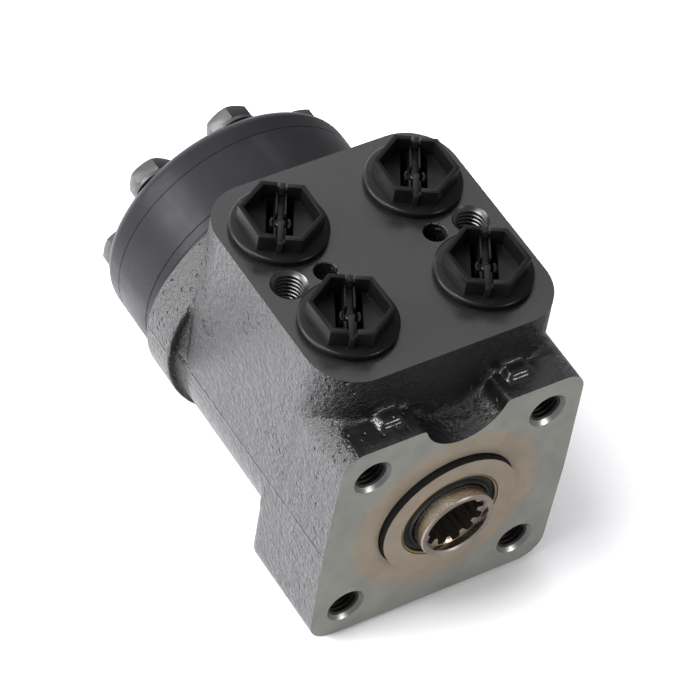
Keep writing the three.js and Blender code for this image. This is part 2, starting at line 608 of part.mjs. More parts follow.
const extent = new THREE.Box3().setFromObject(inner);
inner.position.set(0, -(extent.min.y + extent.max.y) / 2, -extent.min.z);
unit.updateMatrixWorld(true);

export default unit;
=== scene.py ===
import json
import math

import bmesh
import bpy
from mathutils import Matrix, Vector


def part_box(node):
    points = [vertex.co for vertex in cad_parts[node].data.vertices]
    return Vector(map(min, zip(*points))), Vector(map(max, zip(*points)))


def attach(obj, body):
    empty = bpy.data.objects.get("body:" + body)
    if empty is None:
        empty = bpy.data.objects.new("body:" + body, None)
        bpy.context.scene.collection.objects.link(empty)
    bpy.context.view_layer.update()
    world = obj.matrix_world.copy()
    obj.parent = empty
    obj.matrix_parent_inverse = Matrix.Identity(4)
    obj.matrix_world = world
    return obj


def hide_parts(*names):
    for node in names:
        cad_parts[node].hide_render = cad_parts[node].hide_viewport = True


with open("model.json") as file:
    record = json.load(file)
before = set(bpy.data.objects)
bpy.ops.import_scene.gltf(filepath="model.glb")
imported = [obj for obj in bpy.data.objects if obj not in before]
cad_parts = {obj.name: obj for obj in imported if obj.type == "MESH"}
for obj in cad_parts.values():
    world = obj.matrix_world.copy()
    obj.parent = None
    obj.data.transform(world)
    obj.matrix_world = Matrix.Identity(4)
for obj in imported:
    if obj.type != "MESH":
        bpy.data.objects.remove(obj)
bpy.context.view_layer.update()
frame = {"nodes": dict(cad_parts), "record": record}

# ---- where the shaft frame sits in the row frame -------------------------------------
# Everything below is measured in millimetres from the flange face (y = 0) and the shaft
# axis (x = z = 0), with the ports towards +z.

MM = 0.001
plate_low, plate_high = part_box("distributor_plate")
spool_low, spool_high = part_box("spool")
AXIS_Z = (plate_low[2] + plate_high[2]) / 2
SPOOL_REACH = 7                             # the spool stands this far out of the flange face
FACE_Y = spool_low[1] + SPOOL_REACH * MM
TO_ROW = Matrix.Translation((0, FACE_Y, AXIS_Z)) @ Matrix.Scale(MM, 4)


def near(node, axis, side):
    """One face of a CAD node's box, in shaft-frame millimetres."""
    origin = (0, FACE_Y, AXIS_Z)[axis]
    return (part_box(node)[side][axis] - origin) / MM


REAR_FACE = near("distributor_plate", 1, 0)
RING_START = near("gear_ring", 1, 0)
COVER_START = near("end_cover", 1, 0)
COVER_END = near("end_cover", 1, 1)
WASHER_END = near("screw_washer_1", 1, 1)
HEAD_END = near("cover_screw_1", 1, 1)
STACK_R = (plate_high[0] - plate_low[0]) / 2 / MM
PORT_FACE = near("plug_seal_1", 2, 0)
PLUG_TOP = near("port_plug_1", 2, 1)

PARTING_Z, HALF_WIDTH, DRAFT = -1.0, 41.1, 0.022
FLANGE_TOP, FLANGE_BOTTOM, FOOT_END = 41.4, -40.9, 33.9
BLOCK_FRONT, BLOCK_BACK, BLOCK_CORNER = 11.3, 89.9, 15
SCALLOP_R, SCALLOP_Z = 14, 44.9             # hollow in the flange's top edge
RIM_START = 84.2                            # round rear flange of the casting
BOSS_R, BOSS_H = 22.1, 2.2                  # raised ring round the drive end
NECK_R, SEAL_R, SPLINE_TEETH = 12.2, 16.05, 12
HOLE_OFFSET = 29.17                         # flange holes, from the axis each way
PORTS = [(-22.4, 32.3), (22.4, 32.3), (22.4, 70.6), (-22.4, 70.6)]
FACE_HOLE, SMALL_HOLE = (30.2, 51.4), (18.2, 51.5)
M10 = (4.3, 5.0, 1.5, 17)                   # core radius, outer radius, pitch, depth
PORT_THREAD = (10.3, 10.9, 1.8, 15)
SCREW_CIRCLE, SCREW_HOLE_R, HEX_FLATS = 31.7, 4.2, 13
SCREW_ANGLES = [math.radians(90 + 360 * k / 7) for k in range(7)]
PLUG_HEX_R, PLUG_WALL, HUB = 12.5, 1.45, (-1.6, 0)
PLUG_TURNS = (61, 60, 59, 58)               # degrees about each plug's own axis


# ---- materials ------------------------------------------------------------------------

class Nodes:
    """Small helper that wires one procedural material."""

    def __init__(self, name):
        self.material = bpy.data.materials.new(name)
        self.material.use_nodes = True
        self.tree = self.material.node_tree
        self.shader = self.tree.nodes["Principled BSDF"]
        where = self.add("ShaderNodeTexCoord")
        scale = self.add("ShaderNodeMapping")
        scale.inputs["Scale"].default_value = (1000, 1000, 1000)
        self.link(where.outputs["Object"], scale.inputs["Vector"])
        self.mm = scale.outputs["Vector"]

    def add(self, kind, **settings):
        node = self.tree.nodes.new(kind)
        for key, value in settings.items():
            setattr(node, key, value)
        return node

    def link(self, a, b):
        self.tree.links.new(a, b)

    def put(self, socket, value):
        if isinstance(value, (int, float, tuple)):
            socket.default_value = value
        else:
            self.link(value, socket)

    def noise(self, per_mm, detail=3.0, rough=0.5, vector=None):
        node = self.add("ShaderNodeTexNoise")
        node.inputs["Scale"].default_value = per_mm
        node.inputs["Detail"].default_value = detail
        node.inputs["Roughness"].default_value = rough
        self.link(vector or self.mm, node.inputs["Vector"])
        return node.outputs["Fac"]

    def stretch(self, factors):
        node = self.add("ShaderNodeMapping")
        node.inputs["Scale"].default_value = factors
        self.link(self.mm, node.inputs["Vector"])
        return node.outputs["Vector"]

    def ramp(self, value, low, high, to_low=0.0, to_high=1.0):
        node = self.add("ShaderNodeMapRange", interpolation_type="SMOOTHSTEP")
        for key, number in (("From Min", low), ("From Max", high), ("To Min", to_low),
                            ("To Max", to_high)):
            node.inputs[key].default_value = number
        self.link(value, node.inputs["Value"])
        return node.outputs["Result"]

    def math(self, operation, a, b=0.0):
        node = self.add("ShaderNodeMath", operation=operation)
        self.put(node.inputs[0], a)
        self.put(node.inputs[1], b)
        return node.outputs[0]

    def mix(self, factor, a, b):
        node = self.add("ShaderNodeMix", data_type="RGBA")
        self.put(node.inputs[0], factor)
        self.put(node.inputs[6], a)
        self.put(node.inputs[7], b)
        return node.outputs[2]

    def axis(self, letter):
        node = self.add("ShaderNodeSeparateXYZ")
        self.link(self.mm, node.inputs[0])
        return node.outputs[letter]

    def edges(self, low=0.52, high=0.62):
        return self.ramp(self.add("ShaderNodeNewGeometry").outputs["Pointiness"], low, high)

    def bump(self, height, strength, depth_mm):
        node = self.add("ShaderNodeBump")
        node.inputs["Strength"].default_value = strength
        node.inputs["Distance"].default_value = depth_mm * MM
        self.link(height, node.inputs["Height"])
        self.link(node.outputs["Normal"], self.shader.inputs["Normal"])

    def set(self, **values):
        for key, value in values.items():
            self.put(self.shader.inputs[key.replace("_", " ")], value)


def grey(value, warm=0.0):
    return (value * (1 + warm), value, value * (1 - warm), 1)


def simple(name, color, worn, rough, metal=0.0, grain=1.2, depth=0.03, wear=0.12, shine=0.5,
           lines=None):
    """Plain finish: broad mottling, uneven gloss, worn edges and a fine grain."""
    n = Nodes(name)
    broad, fine = n.noise(0.09, 4), n.noise(grain, 4, 0.6)
    mottled = n.mix(n.ramp(broad, 0.35, 0.7), color, tuple(0.72 * c for c in color[:3]) + (1,))
    n.set(Base_Color=n.mix(n.math("MULTIPLY", n.edges(), wear), mottled, worn), Metallic=metal)
    uneven = n.math("ADD", broad, n.math("MULTIPLY", fine, 0.5))
    n.set(Roughness=n.ramp(uneven, 0.4, 1.0, rough[0], rough[1]), Specular_IOR_Level=shine)
    height = fine
    if lines:
        height = n.math("ADD", n.math("MULTIPLY", fine, 0.3), n.noise(1.0, 3, 0.6, n.stretch(lines)))
    n.bump(height, 0.6, depth)
    return n.material


def cast_paint(name, color, rough, depth):
    """Thick gloss paint over sand-cast iron: pebbled skin, pits and a parting line."""
    n = Nodes(name)
    pebble = n.noise(0.8, 4, 0.6, n.stretch((1, 0.85, 1)))
    coarse = n.noise(0.16, 3)
    speck = n.add("ShaderNodeTexVoronoi", feature="F1")
    speck.inputs["Scale"].default_value = 0.33
    n.link(n.mm, speck.inputs["Vector"])
    clusters = n.ramp(n.noise(0.06, 1), 0.52, 0.58)
    pit = n.math("MULTIPLY", n.ramp(speck.outputs["Distance"], 0.16, 0.26, 1.0, 0.0), clusters)
    from_seam = n.math("ABSOLUTE", n.math("SUBTRACT", n.axis("Z"), AXIS_Z / MM + PARTING_Z))
    ragged = n.ramp(n.noise(0.4, 2), 0.3, 0.6, 0.35, 1.0)
    seam = n.math("MULTIPLY", n.ramp(from_seam, 0.15, 0.75, 1.0, 0.0), ragged)
    height = n.math("ADD", pebble, n.math("MULTIPLY", coarse, 0.7))
    height = n.math("SUBTRACT", height, n.math("MULTIPLY", pit, 1.6))
    height = n.math("ADD", height, n.math("MULTIPLY", seam, 1.8))
    # paint has pooled smooth in the pocket between the flange face and the block
    deep = n.ramp(n.axis("Y"), FACE_Y / MM + 9.5, FACE_Y / MM + 12.5, 1.0, 0.0)
    high = n.ramp(n.axis("Z"), AXIS_Z / MM + 34, AXIS_Z / MM + 38)
    inside = n.ramp(n.math("ABSOLUTE", n.axis("X")), 33, 37, 1.0, 0.0)
    pooled = n.math("MULTIPLY", n.math("MULTIPLY", deep, high), inside)
    height = n.math("MULTIPLY", height, n.math("SUBTRACT", 1.0, n.math("MULTIPLY", pooled, 0.9)))
    dusty = n.ramp(n.noise(0.3, 4), 0.45, 0.75)
    tint = n.mix(dusty, color, tuple(1.5 * c for c in color[:3]) + (1,))
    n.set(Base_Color=n.mix(n.math("MULTIPLY", pit, 0.8), tint, grey(0.002)), Specular_IOR_Level=0.52)
    n.set(Roughness=n.ramp(pebble, 0.35, 0.7, rough[0], rough[1]))
    n.bump(height, 1.0, depth)
    return n.material


def flange_steel(name):
    """Machined flange: grey primed face with a bare, warmer ring round the drive end."""
    n = Nodes(name)
    x, z = n.axis("X"), n.math("SUBTRACT", n.axis("Z"), AXIS_Z / MM)
    radius = n.math("SQRT", n.math("ADD", n.math("MULTIPLY", x, x), n.math("MULTIPLY", z, z)))
    edge = n.math("ADD", radius, n.math("MULTIPLY", n.noise(0.25, 3), 1.6))
    bare = n.ramp(edge, 31.0, 32.4, 1.0, 0.0)
    cloud = n.ramp(n.noise(0.12, 5, 0.65), 0.3, 0.75)
    grain = n.noise(3.0, 3, 0.7)
    rings = n.add("ShaderNodeTexWave", wave_type="RINGS", rings_direction="Y")
    rings.inputs["Scale"].default_value = 0.9
    rings.inputs["Distortion"].default_value = 0.6
    offset = n.add("ShaderNodeMapping")
    offset.inputs["Location"].default_value = (0, 0, -AXIS_Z / MM)
    n.link(n.mm, offset.inputs["Vector"])
    n.link(offset.outputs["Vector"], rings.inputs["Vector"])
    primed = n.mix(cloud, (0.19, 0.189, 0.167, 1), (0.15, 0.15, 0.133, 1))
    warm = n.mix(cloud, (0.25, 0.207, 0.155, 1), (0.2, 0.163, 0.12, 1))
    n.set(Base_Color=n.mix(bare, primed, warm), Metallic=n.math("MULTIPLY", bare, 0.15))
    n.set(Roughness=n.ramp(n.math("ADD", grain, n.math("MULTIPLY", bare, -0.15)), 0.2, 0.8, 0.4, 0.6))
    n.bump(n.math("ADD", n.math("MULTIPLY", rings.outputs["Fac"], bare), grain), 0.5, 0.012)
    return n.material


PAINT = cast_paint("cast_gloss_paint", grey(0.006), (0.1, 0.22), 1.0)
SATIN = simple("satin_machined_paint", (0.01, 0.01, 0.0092, 1), grey(0.05), (0.17, 0.32), grain=0.8,
               depth=0.012, shine=0.75, lines=(0.05, 0.9, 1))
STACK = simple("stack_semi_gloss_paint", (0.0105, 0.0098, 0.0118, 1), grey(0.05), (0.24, 0.36),
               grain=1.4, depth=0.02, shine=0.09)
FLANGE = flange_steel("flange_face_steel")
BORE = simple("dark_bore_steel", grey(0.05, 0.1), grey(0.2), (0.3, 0.5), metal=0.8, grain=1.0)
TEETH = simple("spline_steel", grey(0.45, 0.1), grey(0.6, 0.08), (0.2, 0.35), metal=1.0, grain=2.0,
               depth=0.01)
# flat black for the wall of the boss and its groove: painted shade
BOSS_WALL_SHADE = simple("boss_wall_painted_shade", grey(0.006), grey(0.02), (0.4, 0.6), grain=1.0, shine=0.2)
CUT_STEEL = simple("cut_steel", grey(0.38, 0.02), grey(0.6), (0.22, 0.4), metal=1.0, grain=2.0)
POLISHED = simple("polished_steel", grey(0.6, 0.14), grey(0.8, 0.1), (0.16, 0.3), metal=1.0, grain=2.0,
                  depth=0.006, lines=(0.2, 3, 0.2))
BLACK_STEEL = simple("black_screw_steel", grey(0.014), grey(0.16), (0.26, 0.42), metal=0.2, grain=1.6)
PLASTIC = simple("plug_plastic", grey(0.0035), grey(0.05), (0.2, 0.34), grain=2.2, depth=0.02,
                 wear=0.15, shine=0.15)
RUBBER = simple("seal_rubber", grey(0.009), grey(0.03), (0.35, 0.6), grain=2.0)
CASE = simple("seal_case_brass", (0.5, 0.37, 0.17, 1), (0.7, 0.55, 0.3, 1), (0.25, 0.4), metal=1.0)
INNER = {"steel": simple("inner_ground_steel", grey(0.5), grey(0.7), (0.2, 0.35), metal=1.0, grain=2.0),
         "dark_steel": BLACK_STEEL, "rubber": RUBBER, "spring_steel": CUT_STEEL, "seal_case": CASE,
         "paint": PAINT, "stack_paint": STACK, "plastic": PLASTIC}
SLOT_OF = {part["node"]: part["material_slot"] for part in frame["record"]["subparts"]}

for node_name, node in frame["nodes"].items():
    node.data.materials.clear()
    node.data.materials.append(INNER[SLOT_OF[node_name]])


# ---- mesh helpers (shaft-frame millimetres until finish) --------------------------------

def mesh_object(name, verts, faces, material):
    mesh = bpy.data.meshes.new(name)
    mesh.from_pydata(verts, [], faces)
    made = bpy.data.objects.new(name, mesh)
    bpy.context.scene.collection.objects.link(made)
    mesh.materials.append(material)
    bm = bmesh.new()
    bm.from_mesh(mesh)
    bmesh.ops.remove_doubles(bm, verts=bm.verts, dist=1e-5)
    bmesh.ops.recalc_face_normals(bm, faces=bm.faces)
    bm.to_mesh(mesh)
    bm.free()
    return made


def put_axis(a, b, along, axis):
    return {"Y": (a, along, b), "Z": (a, b, along), "X": (along, a, b)}[axis]


def lathe(name, profile, material, segments=96, axis="Y", at=(0, 0, 0)):
    """Closed profile of (radius, height) turned about an axis through `at`."""
    segments = segments
    verts, faces, count = [], [], len(profile)
    for i in range(segments):
        angle = 2 * math.pi * i / segments
        for radius, height in profile:
            x, y, z = put_axis(radius * math.cos(angle), radius * math.sin(angle), height, axis)
            verts.append((x + at[0], y + at[1], z + at[2]))
    for i in range(segments):
        j = (i + 1) % segments
        for k in range(count):
            m = (k + 1) % count
            if profile[k][0] == 0 and profile[m][0] == 0:
                continue
            faces.append((i * count + k, j * count + k, j * count + m, i * count + m))
    return mesh_object(name, verts, faces, material)


def prism(name, outline, low, high, material, axis="Y"):
    """Closed outline pulled from `low` to `high` along an axis."""
    count = len(outline)
    verts = [put_axis(a, b, h, axis) for h in (low, high) for a, b in outline]
    faces = [tuple(range(count)), tuple(range(2 * count - 1, count - 1, -1))]
    faces += [(k, (k + 1) % count, (k + 1) % count + count, k + count) for k in range(count)]
    return mesh_object(name, verts, faces, material)


def block(name, x, y, z, material):
    outline = [(x[0], y[0]), (x[1], y[0]), (x[1], y[1]), (x[0], y[1])]
    return prism(name, outline, z[0], z[1], material, "Z")


def arc(radius, start, end, steps, centre=(0, 0)):
    angles = [math.radians(start + (end - start) * i / steps) for i in range(steps + 1)]
    return [(centre[0] + radius * math.cos(a), centre[1] + radius * math.sin(a)) for a in angles]


def rounded(corners, steps=10):
    """Outline with arcs at its corners, from (a, b, corner radius) triples."""
    outline = []
    for i, (a, b, radius) in enumerate(corners):
        corner = Vector((a, b))
        if not radius:
            outline.append((a, b))
            continue
        before = (Vector(corners[i - 1][:2]) - corner).normalized()
        after = (Vector(corners[(i + 1) % len(corners)][:2]) - corner).normalized()
        half = before.angle(after) / 2
        middle = corner + (before + after).normalized() * radius / math.sin(half)
        start = corner + before * radius / math.tan(half) - middle
        sweep = math.pi - 2 * half
        for k in range(steps + 1):
            turn = sweep * k / steps
            outline.append((middle.x + start.x * math.cos(turn) - start.y * math.sin(turn),
                            middle.y + start.x * math.sin(turn) + start.y * math.cos(turn)))
    return outline


def join(name, pieces):
    """One object from several, keeping each piece's material."""
    bm = bmesh.new()
    mesh = bpy.data.meshes.new(name)
    for piece in pieces:
        start = len(bm.faces)
        for slot_material in piece.data.materials:
            if slot_material.name not in mesh.materials:
                mesh.materials.append(slot_material)
        lookup = [mesh.materials.find(m.name) for m in piece.data.materials]
        bm.from_mesh(piece.data)
        bm.faces.ensure_lookup_table()
        for face in bm.faces[start:]:
            face.material_index = lookup[min(face.material_index, len(lookup) - 1)]
        bpy.data.objects.remove(piece)
    bm.to_mesh(mesh)
    bm.free()
    made = bpy.data.objects.new(name, mesh)
    bpy.context.scene.collection.objects.link(made)
    return made


def bake(made):
    """Applies the modifiers of an object to its mesh."""
    graph = bpy.context.evaluated_depsgraph_get()
    result = bpy.data.meshes.new_from_object(made.evaluated_get(graph), preserve_all_data_layers=True,
                                             depsgraph=graph)
    made.modifiers.clear()
    made.data = result


def carve(target, tools, operation="DIFFERENCE"):
    """Boolean with several tools; new faces keep the tool's material."""
    shelf = bpy.data.collections.new("tools")
    for tool in tools:
        bpy.context.scene.collection.objects.unlink(tool)
        shelf.objects.link(tool)
    modifier = target.modifiers.new("carve", "BOOLEAN")
    modifier.operation, modifier.solver = operation, "MANIFOLD"
    modifier.operand_type, modifier.collection = "COLLECTION", shelf
    modifier.material_mode = "TRANSFER"
    bpy.context.scene.collection.children.link(shelf)
    bake(target)
    for tool in tools:
        bpy.data.objects.remove(tool)
    bpy.data.collections.remove(shelf)


def soften(made, width, segments=2, angle=35):
    modifier = made.modifiers.new("edge", "BEVEL")
    modifier.width, modifier.segments = width, segments
    modifier.limit_method, modifier.angle_limit = "ANGLE", math.radians(angle)
    bake(made)


def shade(made, angle):
    """Smooth shading with sharp edges where faces meet at more than `angle` degrees."""
    for polygon in made.data.polygons:
        polygon.use_smooth = True
    bm = bmesh.new()
    bm.from_mesh(made.data)
    limit = math.radians(angle)
    for edge in bm.edges:
        edge.smooth = not (len(edge.link_faces) == 2 and edge.calc_face_angle(0) > limit)
    bm.to_mesh(made.data)
    bm.free()


def settle(made, body, nodes, local=None, angle=32):
    """Moves a finished piece to the row frame, hides the CAD nodes it stands in for and ties it to its
    body.
    """
    made.data.transform(TO_ROW @ (local or Matrix.Identity(4)))
    shade(made, angle)
    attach(made, body)
    if nodes:
        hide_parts(*nodes)
    return made


# ---- housing: a rough casting, then the machining ----------------------------------------

def half_width(z):
    """The side walls draw in a little above and below the parting line."""
    return HALF_WIDTH - DRAFT * abs(z - PARTING_Z)


def casting():
    """Cast blank, oversize where it is machined, with rounded corners all over."""
    top, low, spare = half_width(FLANGE_TOP), half_width(FLANGE_BOTTOM), 3.0
    parting_left, parting_right = (-HALF_WIDTH, PARTING_Z), (HALF_WIDTH, PARTING_Z)
    shoulder = [(36, 8), (-36, 8)]
    lower = [(-low, FLANGE_BOTTOM, 8), (low, FLANGE_BOTTOM, 8), (*parting_right, 0)]
    flange = rounded(lower + [(top, FLANGE_TOP, 7), (-top, FLANGE_TOP, 7), (*parting_left, 0)])
    foot = rounded(lower + [(*corner, 0) for corner in shoulder] + [(*parting_left, 0)])
    slab = prism("flange", flange, -spare, 24, PAINT)
    scallop = [(0, -9), (SCALLOP_R, -9), (SCALLOP_R, BLOCK_FRONT), (0, BLOCK_FRONT)]
    carve(slab, [lathe("scallop", scallop, PAINT, 96, "Y", (0, 0, SCALLOP_Z))])

    plan = rounded([(-HALF_WIDTH, BLOCK_FRONT, BLOCK_CORNER), (HALF_WIDTH, BLOCK_FRONT, BLOCK_CORNER),
                    (HALF_WIDTH, BLOCK_BACK, BLOCK_CORNER),
                    (-HALF_WIDTH, BLOCK_BACK, BLOCK_CORNER)], 16)
    upper = prism("upper", plan, PARTING_Z, PORT_FACE + spare, PAINT, "Z")
    for vertex in upper.data.vertices:
        vertex.co.x *= half_width(vertex.co.z) / HALF_WIDTH

    barrel = [parting_right] + shoulder + [parting_left] + arc(HALF_WIDTH, 183, 357, 60)
    rim = []
    for i in range(120):
        c, s = math.cos(math.radians(3 * i)), math.sin(math.radians(3 * i))
        radius = STACK_R + 0.15 + 2 * abs(c) ** (6 if s > 0 else 1.5)   # fuller towards the sides
        rim.append((radius * c, radius * s))
    neck = [(0, 80.5), (38.2, 80.5), (42.0, 85), (42.0, 90), (0, 90)]
    blank = join("housing_painted", [
        slab,
        prism("foot", foot, -spare, FOOT_END, PAINT),
        upper,
        prism("barrel", barrel, 25, 88, PAINT),
        prism("rim", rim, RIM_START, REAR_FACE + spare, PAINT),
        lathe("neck", neck, PAINT),
        block("pad_left", (-25, -17.6), (6, 14), (40, 43.4), PAINT),
        block("pad_right", (17.6, 25), (6, 14), (40, 43.4), PAINT)])

    remesh = blank.modifiers.new("skin", "REMESH")
    remesh.mode, remesh.voxel_size = "VOXEL", 0.68
    bake(blank)
    relax = blank.modifiers.new("relax", "SMOOTH")
    relax.factor, relax.iterations = 0.5, 9
    bake(blank)
    blank.data.materials.clear()
    blank.data.materials.append(PAINT)
    return blank


def thread_profile(mouth, thread, bevel, inward):
    """Countersunk hole with V-shaped thread rings, as (radius, height) pairs."""
    core, outer, pitch, depth = thread
    flank = (outer - core) * 0.6
    height = mouth + inward * (bevel - outer)
    points = [(0, mouth - inward), (bevel, mouth - inward), (bevel, mouth), (outer, height)]
    while abs(height - mouth) < depth - pitch:
        points += [(core, height + inward * flank), (core, height + inward * (pitch - flank)),
                   (outer, height + inward * pitch)]
        height += inward * pitch
    points += [(core, height + inward * flank), (core, mouth + inward * depth),
               (0, mouth + inward * (depth + core * 0.5))]
    return points


def machine(blank):
    """Faces, bores and threaded holes cut into the blank."""
    wide, groove = 70, 0.35
    across = (-wide, wide)
    flange_face = lathe("front", [
        (BOSS_R, -12), (wide, -12), (wide, 0), (BOSS_R + 0.5, 0), (BOSS_R + 0.5, groove),
        (BOSS_R, groove),
    ], FLANGE, 160)
    carve(blank, [block("port_plane", across, (-20, 110), (PORT_FACE, 80), SATIN),
                  block("boss_plane", across, (-20, -BOSS_H), across, FLANGE),
                  block("rear_plane", across, (REAR_FACE, 120), across, STACK), flange_face])

    rear = lathe("rear_turning", [(STACK_R, REAR_FACE - 1), (60, REAR_FACE - 1),
                                  (60, REAR_FACE + 1), (STACK_R, REAR_FACE + 1)], STACK, 160)
    bore = [(0, -9), (16.2, -9), (16.2, 1.6), (13, 1.6), (13, 9.3), (19.12, 9.3), (19.12, 110),
            (0, 110)]
    drilling = [(0, PORT_FACE + 1), (3.75, PORT_FACE + 1), (3.75, PORT_FACE), (3.45, PORT_FACE - 0.3),
                (3.45, PORT_FACE - 16), (0, PORT_FACE - 16)]
    tools = [rear, lathe("bore", bore, BORE, 96)]
    for side in (-1, 1):
        for level in (-1, 1):
            tools.append(lathe("flange_hole", thread_profile(0, M10, 6.15, 1), BORE, 48, "Y",
                               (side * HOLE_OFFSET, 0, level * HOLE_OFFSET)))
        tools.append(lathe("face_hole", thread_profile(PORT_FACE, M10, 5.6, -1), SATIN, 48, "Z",
                           (side * FACE_HOLE[0], FACE_HOLE[1], 0)))
        tools.append(lathe("small_hole", drilling, PAINT, 48, "Z",
                           (side * SMALL_HOLE[0], SMALL_HOLE[1], 0)))
    for x, y in PORTS:
        tools.append(lathe("port", thread_profile(PORT_FACE, PORT_THREAD, 11.6, -1), CUT_STEEL, 72,
                           "Z", (x, y, 0)))
    carve(blank, tools)
    return blank


def recolour(blank):
    """Bright cut countersinks at the flange holes, and flat black painted shade on the wall of the boss
    and its groove.
    """
    materials = blank.data.materials
    materials.append(BOSS_WALL_SHADE)
    bright, black = materials.find(CUT_STEEL.name), materials.find(BOSS_WALL_SHADE.name)
    for polygon in blank.data.polygons:
        centre, normal = polygon.center, polygon.normal
        from_hole = math.hypot(abs(centre.x) - HOLE_OFFSET, abs(centre.z) - HOLE_OFFSET)
        from_axis = math.hypot(centre.x, centre.z)
        if from_hole < 6.2 and -0.1 < centre.y < 1.3 and -0.95 < normal.y < -0.3:
            polygon.material_index = bright
        # the wall of the boss and the groove at its foot get flat black as painted shade
        if abs(from_axis - BOSS_R - 0.2) < 0.6 and -BOSS_H < centre.y < 0.5:
            polygon.material_index = black


housing = machine(casting())
recolour(housing)
settle(housing, "housing_body", ["housing"], angle=38)


# ---- rear stack ---------------------------------------------------------------------------

def disc(name, low, high, round_end, node, inner=0.0, lip=0.22):
    """Turned disc, or ring when `inner` is given, drilled for the cover screws.

    `lip` is the size of the seam chamfers and `round_end` the rear corner radius, if any.
    """
    profile = [(inner, low), (STACK_R - lip, low), (STACK_R, low + lip)]
    if round_end:
        profile += arc(round_end, 0, 90, 14, (STACK_R - round_end, high - round_end))
    else:
        profile += [(STACK_R, high - lip), (STACK_R - lip, high)]
    profile += [(inner, high)]
    made = lathe(name, profile, STACK, 192)
    through = [(0, low - 2), (SCREW_HOLE_R, low - 2), (SCREW_HOLE_R, high + 2), (0, high + 2)]
    carve(made, [lathe("hole", through, BORE, 32, "Y",
                       (SCREW_CIRCLE * math.cos(a), 0, SCREW_CIRCLE * math.sin(a)))
                 for a in SCREW_ANGLES])
    return settle(made, "housing_body", [node])


disc("distributor_disc", REAR_FACE, RING_START - 0.02, 0, "distributor_plate", 14.6)
disc("end_cover_turned", COVER_START, COVER_END, 4.6, "end_cover")

# the gear ring keeps its exact lobed pocket: a thin painted band covers its outer face
band_inner, band_shoulder, band_outer = STACK_R - 0.3, STACK_R - 0.2, STACK_R + 0.02
band = lathe("gear_ring_band", [
    (band_inner, RING_START), (band_shoulder, RING_START), (band_outer, RING_START + 0.22),
    (band_outer, COVER_START - 0.24), (band_shoulder, COVER_START - 0.02),
    (band_inner, COVER_START - 0.02),
], STACK, 192)
settle(band, "housing_body", [])


def screw(index, angle):
    """Hex screw with a washer face and a chamfered top, on a turned washer."""
    base, crown = WASHER_END + 0.02, HEAD_END + 0.55
    flats = [(HEX_FLATS / math.sqrt(3) * math.cos(math.radians(60 * i)),
              HEX_FLATS / math.sqrt(3) * math.sin(math.radians(60 * i))) for i in range(6)]
    head = prism("head", flats, base + 0.4, HEAD_END, BLACK_STEEL)
    chamfer = [(0, base - 1), (9, base - 1), (9, HEAD_END - 1.4), (5.6, crown), (0, crown)]
    carve(head, [lathe("form", chamfer, BLACK_STEEL, 64)], "INTERSECT")
    soften(head, 0.22, 2)
    collar = lathe("collar", [(0, base), (6.4, base), (6.4, base + 0.45), (0, base + 0.45)],
                   BLACK_STEEL, 64)
    shank = lathe("shank", [(0, 84), (3, 84), (3.9, 85), (3.9, base + 0.2), (0, base + 0.2)],
                  BLACK_STEEL, 32)
    made = join("screw_%d" % index, [head, collar, shank])
    place = Matrix.Translation((SCREW_CIRCLE * math.cos(angle), 0, SCREW_CIRCLE * math.sin(angle)))
    settle(made, "housing_body", ["cover_screw_%d" % index],
           place @ Matrix.Rotation(-angle - math.radians(11), 4, "Y"))
    low = COVER_END + 0.02
    ring = lathe("washer_%d" % index, [
        (SCREW_HOLE_R, low), (7.75, low), (7.9, low + 0.15), (7.9, WASHER_END - 0.2),
        (7.7, WASHER_END), (SCREW_HOLE_R, WASHER_END),
    ], BLACK_STEEL, 64)
    settle(ring, "housing_body", ["screw_washer_%d" % index], place)


for number, screw_angle in enumerate(SCREW_ANGLES, 1):
    screw(number, screw_angle)


# ---- drive end ------------------------------------------------------------------------------

def drive_end():
    """Spool with its splined socket, and the dust seal around it."""
    tip, tail = [(corner[1] - FACE_Y) / MM for corner in (spool_low, spool_high)]
    body = lathe("spool_turned", [
        (0, tip), (NECK_R - 0.9, tip), (NECK_R - 0.35, tip + 0.15), (NECK_R, tip + 0.6),
        (NECK_R, 14), (14, 14), (14, tail), (0, tail),
    ], POLISHED, 144)
    mouth = lathe("mouth", [
        (0, tip - 1), (11, tip - 1), (10.9, tip), (10.3, tip + 0.45), (10.3, tip + 2.6),
        (8.3, tip + 3.3), (0, tip + 3.3),
    ], POLISHED, 144)
    # one tooth space: (radius, share of the pitch)
    space = [(8.4, -0.13), (8.4, 0.13), (9.9, 0.25), (10.1, 0.36), (10.1, 0.5), (10.1, 0.64),
             (9.9, 0.75)]
    outline = []
    for k in range(SPLINE_TEETH):
        for radius, share in space:
            turn = math.radians(360 / SPLINE_TEETH * (k + share))
            outline.append((radius * math.cos(turn), radius * math.sin(turn)))
    spline = prism("spline", outline, tip - 1, 13.5, TEETH)
    carve(body, [mouth])
    carve(body, [spline])
    settle(body, "spool_body", ["spool"], angle=28)

    case = lathe("case", [
        (15.35, 1.3), (15.35, -1.9), (15.6, -2.15), (15.95, -2.15), (SEAL_R, -2.0), (SEAL_R, 1.3),
    ], CASE, 144)
    lip = lathe("lip", [
        (12.35, 0.6), (12.35, -1.6), (12.7, -2.3), (13.2, -2.3), (13.6, -1.3), (14.2, -0.9),
        (15.1, -1.1), (15.34, -1.5), (15.34, 1.2),
    ], RUBBER, 144)
    settle(join("dust_seal_ring", [case, lip]), "housing_body", ["dust_seal"])


drive_end()


# ---- port plugs -------------------------------------------------------------------------------

def hexagon(radius):
    return arc(radius, 30, 330, 5)


